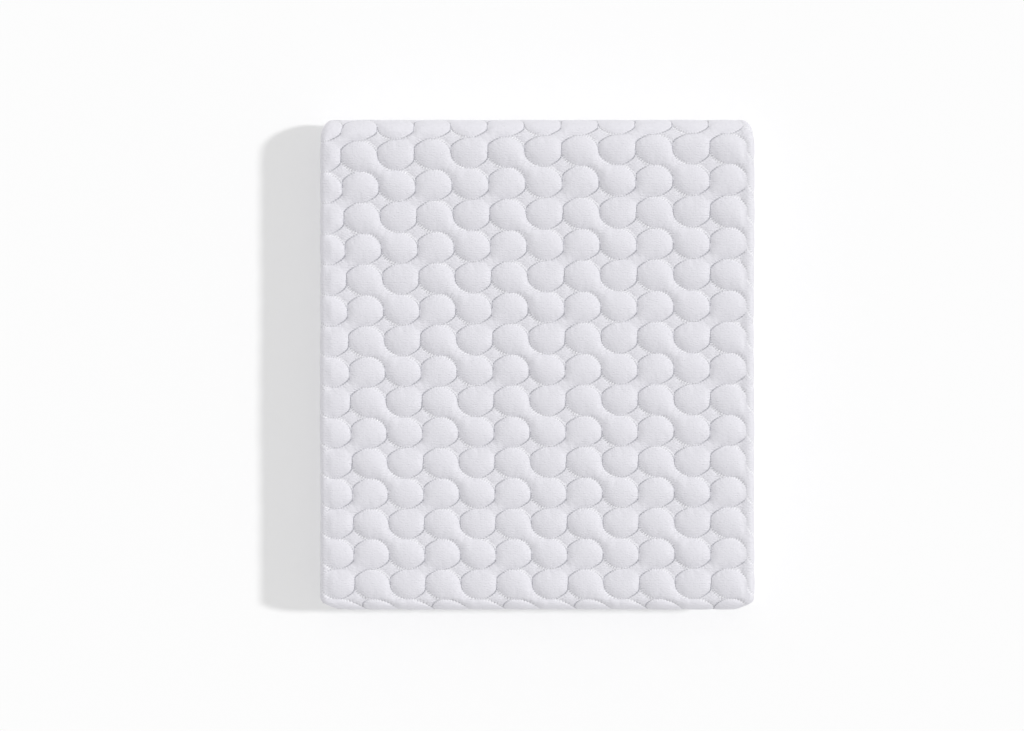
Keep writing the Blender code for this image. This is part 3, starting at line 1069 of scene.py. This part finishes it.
def cloth_mesh(name: str, points: ndarray, share: ndarray, maps: dict[Map, ndarray]) -> Mesh:
    """A closed cloth with its vertices at given points, from a flat grid.

    Args:
        name: Name of the mesh.
        points: Points by row and column, where the last column is the first again.
        share: How far round and along the cloth each point is, from 0 to 1.
        maps: UV places by row and column, for each UV map but the one for baking.

    Returns:
        The mesh.
    """
    rows, columns = points.shape[:2]
    mesh = new_mesh(name, bmesh.ops.create_grid, x_segments=columns - 1, y_segments=rows - 1,
                    size=1)
    flat = points_of(mesh)
    column = np.rint((flat[:, 0] + 1) / 2 * (columns - 1)).astype(int)
    row = np.rint((flat[:, 1] + 1) / 2 * (rows - 1)).astype(int)
    mesh.vertices.foreach_set("co", points[row, column].astype(np.float32).ravel())
    corner = np.empty(len(mesh.loops), dtype=np.int32)
    mesh.loops.foreach_get("vertex_index", corner)
    for kind, places in ({Map.BAKE: BAKE_START + share * BAKE_SPAN} | maps).items():
        layer = mesh.uv_layers.new(name=kind.value)
        laid = places[row[corner], column[corner]].astype(np.float32)
        layer.data.foreach_set("uv", laid.ravel())
    mesh.update()
    close_tube(mesh, rows, columns)
    return mesh


def show(mesh: Mesh, material: Material, nodes: tuple[str, ...]) -> Object:
    """Puts a finished mesh in the scene as a piece.

    Args:
        mesh: The mesh, whose name the piece gets.
        material: Its material.
        nodes: CAD nodes that the piece stands for.

    Returns:
        The piece.
    """
    mesh.materials.append(material)
    piece = add_object(mesh.name, mesh)
    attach(piece, "root")
    if nodes:
        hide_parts(*nodes)
    log.info("%s: %d faces", piece.name, len(mesh.polygons))
    return piece


def steps(marks: tuple[float, ...], sizes: tuple[float, ...]) -> ndarray:
    """Places between marks, evenly spread over each stretch.

    Args:
        marks: The marks in order.
        sizes: About how far apart the places are on each stretch.

    Returns:
        The places, with all the marks among them.
    """
    found = [np.array([marks[0]])]
    for first, last, size in zip(marks, marks[1:], sizes):
        count = max(1, round(abs(last - first) / size))
        found.append(first + (last - first) * np.arange(1, count + 1) / count)
    return np.concatenate(found)


@dataclass(frozen=True)
class QuiltedSheet:
    """The three cloths of the sheet: face, fill and backing.

    Their sides are given by their reach from the leaf's core. The pressed reaches are those
    at a bound edge, before the squeeze.
    """

    plan: FoldPlan
    quilting: Quilting
    knit: Material
    wadding: Material
    backing: Material
    fine: float = 0.0011
    bottom: float = 0.0034
    hidden: float = 0.0080
    coarse: float = 0.0140
    wide: float = 0.0300
    tight_fold: float = 0.0022
    roll_side: float = 0.0025
    lining_across: tuple[float, float, float] = (0.008, 0.0025, 0.012)
    lining_along: tuple[float, float, float] = (0.004, 0.010, 0.012)
    near_roll: float = 0.020
    hem: float = 0.02
    face_outer: float = 0.0065
    face_inner: float = 0.0044
    face_pressed: float = 0.0055
    fill_outer: float = 0.0042
    fill_inner: float = 0.0019
    fill_pressed: float = 0.0052
    backing_outer: float = 0.0016
    backing_inner: float = 0.0009

    def across(self, panel: float, roll: float, flap: float) -> ndarray:
        """Places across the sheet, from its right edge to its left one.

        Args:
            panel: Distance apart on the panel.
            roll: Distance apart round the rolled sides.
            flap: Distance apart on the flaps that are turned in.

        Returns:
            The places.
        """
        side, edge = self.plan.core_half, self.plan.edge_across
        rolled = side + self.plan.roll_length
        near = rolled + self.near_roll
        marks = (edge, near, rolled, side, -side, -rolled, -near, -edge)
        return steps(marks, (flap, 2 * roll, roll, panel, roll, 2 * roll, flap))

    def along(self, fine: float, bottom: float, hidden: float) -> ndarray:
        """Places along, so far apart on the top and outer folds, the bottom and inside."""
        sizes = (bottom, fine, fine, fine, hidden, self.tight_fold, hidden)
        return steps(self.plan.marks, sizes)

    def lay(self, name: str, reaches: tuple[float, float, float, float], outer: ndarray,
            inner: ndarray, along: ndarray, puffed: bool) -> Mesh:
        """Lays a closed cloth along the folds.

        Args:
            name: Name of the piece.
            reaches: Reach of the outer side, free and bound, and of the inner side.
            outer: Places across on the outer side, from right to left.
            inner: Places across on the inner side, from right to left.
            along: Places along, from the head end to the foot end.
            puffed: Whether the outer side has the quilting's relief.

        Returns:
            The mesh.
        """
        outer_free, outer_bound, inner_free, inner_bound = reaches
        across = np.concatenate([outer, inner[::-1], outer[:1]])[None, :]
        outside = np.repeat([1.0, 0.0, 1.0], [len(outer), len(inner), 1])[None, :]
        along = along[:, None]
        bound = outside * outer_bound + (1 - outside) * inner_bound
        free = outside * outer_free + (1 - outside) * inner_free
        reach = free + (bound - free) * self.plan.squeeze(along)
        if puffed:
            reach = reach + outside * self.quilting.lift(across, along)
        reach = reach + self.quilting.undulate(across, along)
        points = self.plan.place(across, along, reach, bound)
        width = outer[0] - outer[-1]
        run = np.concatenate([outer[0] - outer, width + self.hem + inner[::-1] - inner[-1],
                              [2 * (width + self.hem)]])[None, :]
        share = joined(run / run[0, -1], (along[0] - along) / (along[0] - along[-1]))
        maps = {Map.CLOTH: joined(across, along),
                Map.LATTICE: joined(*self.quilting.cell(across, along))}
        return cloth_mesh(name, points, share, maps)

    def line(self, name: str, *reaches: float) -> Mesh:
        """Lays a plain cloth at its reaches, with its two sides alike."""
        across = self.across(*self.lining_across)
        return self.lay(name, reaches, across, across, self.along(*self.lining_along), False)

    def make_face(self) -> None:
        """Makes the quilted face cloth."""
        squeeze = self.plan.edge_squeeze
        reaches = (self.face_outer, self.face_outer - squeeze,
                   self.face_inner, self.face_pressed - squeeze)
        mesh = self.lay("quilted_face", reaches,
                        self.across(self.fine, self.fine, self.coarse),
                        self.across(self.wide, self.roll_side, self.wide),
                        self.along(self.fine, self.bottom, self.hidden), True)
        piece = show(mesh, self.knit, ("face_cover",))

    def make_fill(self) -> None:
        """Makes the fibre fill between face and backing."""
        squeeze = self.plan.edge_squeeze
        mesh = self.line("wadding", self.fill_outer, self.fill_pressed - squeeze,
                         self.fill_inner, self.fill_inner + squeeze)
        piece = show(mesh, self.wadding, ("fibre_fill",))

    def make_backing(self) -> None:
        """Makes the knitted backing cloth."""
        squeeze = self.plan.edge_squeeze
        mesh = self.line("backing", self.backing_outer, self.backing_outer + squeeze,
                         self.backing_inner, self.backing_inner + squeeze)
        piece = show(mesh, self.backing, ("backing_cloth",))


@dataclass(frozen=True)
class Stitching:
    """The quilting thread that lies in the channels, where the face shows."""

    plan: FoldPlan
    quilting: Quilting
    thread: Material
    stitches: int = 10
    columns: tuple[int, int] = (-10, 22)
    rows: tuple[int, int] = (-27, 41)
    stitch_half: float = 0.0011
    thread_half: float = 0.00022
    face_reach: float = 0.0065
    sink: float = 0.00005
    tight_sink: float = 0.00040
    inside: float = 0.4
    past_roll: float = 0.004
    panel_inset: float = 0.002
    end_free: float = 0.016
    same_place: float = 0.0001
    aim: float = 0.02
    apart: float = 4.0

    def middles(self) -> tuple[ndarray, ndarray, ndarray]:
        """The stitches round all cells of the sheet that show.

        Returns:
            Column and row of each stitch's cell, and its turn round the cell.
        """
        plan, quarters = self.plan, 4 * self.stitches
        grids = np.meshgrid(np.arange(*self.columns), np.arange(*self.rows),
                            (np.arange(quarters) + 0.5) / quarters * 2 * math.pi,
                            indexing="ij")
        column, row, turn = (grid.ravel() for grid in grids)
        sewn = ~self.quilting.is_open(column + self.inside * np.cos(turn),
                                      row + self.inside * np.sin(turn))
        across, along = self.quilting.needle(column, row, turn)
        inner_leaf, inner_fold, lower_leaf = plan.marks[4:7]
        out = np.abs(across)
        shown = sewn & (out < plan.core_half + plan.roll_length + self.past_roll)
        shown &= ~((out < plan.core_half - self.panel_inset) & (along < inner_leaf))
        shown &= plan.from_end(along) > self.end_free
        shown &= (along > inner_fold) | (along < lower_leaf)
        places = np.stack([across[shown], along[shown]]) / self.same_place
        first = np.sort(np.unique(np.rint(places), axis=1, return_index=True)[1])
        return column[shown][first], row[shown][first], turn[shown][first]

    def point(self, cell: list[ndarray], turn: ndarray, lift: float = 0.0) -> ndarray:
        """Points on the needle's path.

        Args:
            cell: Columns and rows of the cells.
            turn: Turns round the cells.
            lift: Height over the bottom of the channel.

        Returns:
            The points.
        """
        across, along = self.quilting.needle(*cell, turn)
        reach = self.face_reach + self.quilting.lift(across, along)
        tight = 0.5 + 0.5 * np.cos(2 * turn - TIGHT_TURN)
        reach = reach + self.quilting.undulate(across, along) + lift - self.sink
        return self.plan.place(across, along, reach - self.tight_sink * tight, self.face_reach)

    def make(self) -> None:
        """Lays a short spindle of thread for each stitch."""
        *cell, turn = self.middles()
        middle = self.point(cell, turn)
        run = self.point(cell, turn + self.aim) - self.point(cell, turn - self.aim)
        run /= np.linalg.norm(run, axis=1)[:, None]
        up = self.point(cell, turn, MM) - middle
        up -= run * (up * run).sum(axis=1)[:, None]
        up /= np.linalg.norm(up, axis=1)[:, None]

        pattern = add_object("one_stitch", new_mesh(
            "one_stitch", bmesh.ops.create_uvsphere, u_segments=4, v_segments=2, radius=1))
        repeat = pattern.modifiers.new("row", "ARRAY")
        repeat.count = len(turn)
        repeat.use_relative_offset = False
        repeat.use_constant_offset = True
        repeat.constant_offset_displace = (self.apart, 0, 0)
        thread = worked_out(pattern)
        thread.name = "quilting_thread"
        local = points_of(thread)
        which = np.rint(local[:, 0] / self.apart).astype(int)
        local[:, 0] -= self.apart * which
        laid = middle[which] + run[which] * (local[:, 2:] * self.stitch_half)
        laid += np.cross(up, run)[which] * (local[:, :1] * self.thread_half)
        laid += up[which] * (local[:, 1:2] * self.thread_half)
        thread.vertices.foreach_set("co", laid.astype(np.float32).ravel())
        thread.polygons.foreach_set("use_smooth", [True] * len(thread.polygons))
        thread.update()
        show(thread, self.thread, ())


@dataclass(frozen=True)
class Binding:
    """Tape that is folded over the sheet's edges.

    The ripple is a slow wave on a quick one, each with its turns across and its lead.
    """

    plan: FoldPlan
    tape: Material
    width: float = 0.0120
    thickness: float = 0.0006
    clearance: float = 0.0003
    backing_reach: float = 0.0009
    face_reach: float = 0.0065
    least_reach: float = 0.0004
    end_nose: float = 0.0016
    ripple: float = 0.00012
    ripple_waves: tuple[tuple[float, float], ...] = ((900, 0), (260, 1))
    station: float = 0.0030
    roll_station: float = 0.0015
    side_places: int = 6
    bend_places: int = 9

    def profile(self, nose: float) -> ndarray:
        """Section of the tape round an edge, out on its outer side and back on its inner one.

        Args:
            nose: How far the tape stands out past the edge.

        Returns:
            Distances in from the edge, shares of the way from the backing's side to the
            face's side, and heights off those sides.
        """
        straight = self.width * np.linspace(1, 0, self.side_places)
        bend = np.linspace(math.pi / 2, -math.pi / 2, self.bend_places)[1:-1]
        side = straight * 0
        outer, inner = (
            np.stack([np.concatenate([straight, -reach * np.cos(bend), straight[::-1]]),
                      np.concatenate([side + 1, 0.5 + 0.5 * np.sin(bend), side]),
                      np.concatenate([side + height, height * np.sin(bend), side - height])])
            for height, reach in ((self.clearance + self.thickness, nose),
                                  (self.clearance, nose - self.thickness)))
        return np.concatenate([outer, inner[:, ::-1], outer[:, :1]], axis=1)

    def reach(self, squeeze: ndarray, share: ndarray, height: ndarray) -> ndarray:
        """Reach of the tape's places from the leaf's core.

        Args:
            squeeze: How far the layers are squeezed, from 0 to 1.
            share: Shares of the way from the backing's side to the face's side.
            height: Heights off those sides.

        Returns:
            The reaches.
        """
        press = self.plan.edge_squeeze * squeeze
        backing, face = self.backing_reach + press, self.face_reach - press
        return backing + (face - backing) * share + height

    def finish(self, name: str, points: ndarray, length: ndarray) -> None:
        """Makes the tape's mesh and puts it in the scene.

        Args:
            name: Name of the CAD node that the tape stands for.
            points: Points by station and place of the profile.
            length: Length of tape up to each station.
        """
        gaps = np.linalg.norm(np.diff(points[len(points) // 2], axis=0), axis=1)
        round_it = np.concatenate([[0], np.cumsum(gaps)])
        cloth = joined(round_it[None, :], length[:, None])
        mesh = cloth_mesh(name.replace("binding", "tape"), points,
                          cloth / (round_it[-1], length[-1]), {Map.CLOTH: cloth})
        piece = show(mesh, self.tape, (name,))

    def make_end(self, end: End) -> None:
        """Makes the tape across a short end, which turns round the leaf with the cloths.

        Args:
            end: Which end.
        """
        plan = self.plan
        word, inwards = end.value
        side, edge = plan.core_half, plan.edge_across
        rolled = side + plan.roll_length
        across = steps((edge, rolled, side, -side, -rolled, -edge),
                       (self.station, self.roll_station, self.station, self.roll_station,
                        self.station))[:, None]
        distance, share, height = self.profile(self.end_nose)
        start = plan.marks[0] if end is End.HEAD else plan.marks[-1]
        along = start + inwards * distance[None, :]
        ripple = self.ripple
        for times, lead in self.ripple_waves:
            ripple = ripple * np.sin(times * across + lead)
        reach = self.reach(plan.squeeze(along), share, height) + ripple
        reach = np.maximum(reach, self.least_reach)
        points = plan.place(across, along, reach, reach)
        self.finish(f"{word}_binding", points, edge - across[:, 0])

    def make_side(self, side: Side, along: ndarray) -> None:
        """Makes the tape along a long edge, between the two end tapes.

        Args:
            side: Which edge.
            along: Places along, from the head end to the foot end.
        """
        plan = self.plan
        word, sign = side.value
        inset = self.width + self.clearance
        along = np.clip(along, plan.marks[-1] + inset, plan.marks[0] - inset)
        along = np.unique(along)[::-1][:, None]
        distance, share, height = self.profile(self.clearance + self.thickness)
        across = sign * (plan.edge_across - distance[None, :])
        squeeze = plan.squeeze(along)
        flap = np.clip(1 - distance / (plan.core_half - plan.slit_half), 0, 1)[None, :]
        reach = self.reach(squeeze + (1 - squeeze) * flap, share, height)
        points = plan.place(across, along, reach, reach)
        self.finish(f"{word}_binding", points, along[0] - along[:, 0])


@dataclass(frozen=True)
class CornerStrap:
    """An elastic band across a corner of the sheet, flat in the pocket of its leaf."""

    plan: FoldPlan
    elastic: Material
    width: float = 0.0300
    thickness: float = 0.0012
    corner_distance: float = 0.1500
    edge_inset: float = 0.0010
    wave: float = 0.0002
    wave_turns: tuple[float, float] = (34, 3)
    stations: int = 81
    threads: int = 13

    def make(self, end: End, side: Side) -> None:
        """Makes the band at a corner.

        Args:
            end: Which end of the sheet.
            side: Which long edge.
        """
        plan = self.plan
        leaf_z = plan.leaf_heights[0 if end is End.HEAD else 1]
        run = np.linspace(0, 1, self.stations)[:, None]
        out = np.linspace(0, 1, self.threads)
        ring = np.concatenate([out, out[::-1], out[:1]])[None, :]
        top = np.repeat([1.0, -1.0, 1.0], [len(out), len(out), 1])[None, :]
        far = self.corner_distance + ring * self.width * math.sqrt(2)
        x = plan.slit_half + self.edge_inset + far * (1 - run)
        y = plan.sheet_end + self.edge_inset + far * run
        lengthwise, crosswise = self.wave_turns
        z = leaf_z + top * (self.thickness / 2)
        z = z + self.wave * np.sin(lengthwise * run + crosswise * ring)
        length = float(self.corner_distance * math.sqrt(2))
        cloth = joined(ring * self.width + (top < 0) * 2 * self.width, run * length)
        name = f"{end.value[0]}_strap_{side.value[0]}"
        mesh = cloth_mesh(name.replace("strap", "elastic"), joined(side.value[1] * x, y, z),
                          cloth / (3 * self.width, length), {Map.CLOTH: cloth})
        piece = show(mesh, self.elastic, (name,))


@dataclass(frozen=True)
class Studio:
    """Pale floor, soft light and a camera straight above.

    The key light comes from the right and casts the one shadow. The fill lights come from the
    other sides and cast none. Each light has its power, its height over the floor and its way
    round from the right towards the back in degrees, and how wide it looks in degrees.
    """

    floor_half: float = 4.0
    floor_colour: str = "#F3F3F3"
    sky: float = 0.573
    lights: tuple[tuple[str, float, float, float, float], ...] = (
        ("key_light", 1.462, 37.0, 6.0, 5.0), ("back_light", 0.873, 30.0, 90.0, 10.0),
        ("left_light", 0.277, 30.0, 180.0, 10.0), ("front_light", 0.356, 30.0, 270.0, 10.0))
    picture_width: float = 1.0614
    distance: float = 3.0
    camera_x: float = -0.02616
    camera_y: float = -0.0016
    sensor_mm: float = 36.0
    sight: float = 20.0

    def make_floor(self) -> None:
        """Lays the floor of matt paper, which isn't part of the object."""
        mesh = new_mesh("floor", bmesh.ops.create_grid, x_segments=1, y_segments=1,
                        size=self.floor_half)
        material = bpy.data.materials.new("matt_paper")
        material.use_nodes = True
        feed(material.node_tree.nodes["Principled BSDF"],
             {"Base Color": linear(self.floor_colour), "Roughness": 1.0,
              "Specular IOR Level": 0.0})
        mesh.materials.append(material)
        floor = add_object("floor", mesh)

    def make(self) -> None:
        """Sets the floor, the lights, the sky and the camera."""
        self.make_floor()
        for name, power, elevation, azimuth, angle in self.lights:
            lamp = bpy.data.lights.new(name, "SUN")
            lamp.energy = power
            lamp.angle = math.radians(angle)
            lamp.use_shadow = name == "key_light"
            add_object(name, lamp).rotation_euler = (
                0, math.radians(90 - elevation), math.radians(azimuth))
        scene = bpy.context.scene
        scene.world = bpy.data.worlds.new("white_room")
        scene.world.use_nodes = True
        feed(scene.world.node_tree.nodes["Background"],
             {"Color": (1, 1, 1, 1), "Strength": self.sky})
        scene.view_settings.view_transform = "Standard"
        lens = bpy.data.cameras.new("camera")
        lens.sensor_width = self.sensor_mm
        lens.lens = self.sensor_mm * self.distance / self.picture_width
        lens.clip_end = self.sight
        scene.camera = add_object("camera", lens)
        scene.camera.location = (self.camera_x, self.camera_y,
                                 PACKED_BOUNDS[1].z + self.distance)


def main() -> None:
    """Builds the protector piece by piece, and the studio round it."""
    logging.basicConfig(level=logging.INFO, format="%(name)s: %(message)s")
    plan = FoldPlan()
    quilting = Quilting(plan)
    log.info("relief: settled over %d by %d places", *quilting.domes.shape)

    face_knit = QuiltedKnit("quilted_polyester_knit", "#D9D8DE", 0.50, 0.05, 0.50).make()
    wadding = Wadding("polyester_wadding", "#F2F2F2", 1.00, 0.0, 0.25).make()
    backing_knit = PlainCloth("warp_knit_backing", "#E2E2E5", 0.88, 0.10, 0.25).make()
    tape = PlainCloth("woven_polyester_tape", "#E8E8EA", 0.70, 0.05, 0.25, across_mm=1.0,
                      along_mm=1.4, depth=0.10).make()
    elastic = PlainCloth("ribbed_elastic", "#E5E5E8", 0.75, 0.0, 0.25, across_mm=1.6,
                         along_mm=1.0, depth=0.15).make()
    thread = TwistedThread("polyester_thread", "#F0F0F4", 0.45, 0.0, 0.50).make()

    sheet = QuiltedSheet(plan, quilting, face_knit, wadding, backing_knit)
    sheet.make_face()
    sheet.make_fill()
    sheet.make_backing()
    Stitching(plan, quilting, thread).make()
    binding = Binding(plan, tape)
    for end in End:
        binding.make_end(end)
    for side in Side:
        binding.make_side(side, sheet.along(*sheet.lining_along))
    strap = CornerStrap(plan, elastic)
    for end in End:
        for side in Side:
            strap.make(end, side)
    Studio().make()


if __name__ == "__main__":
    main()
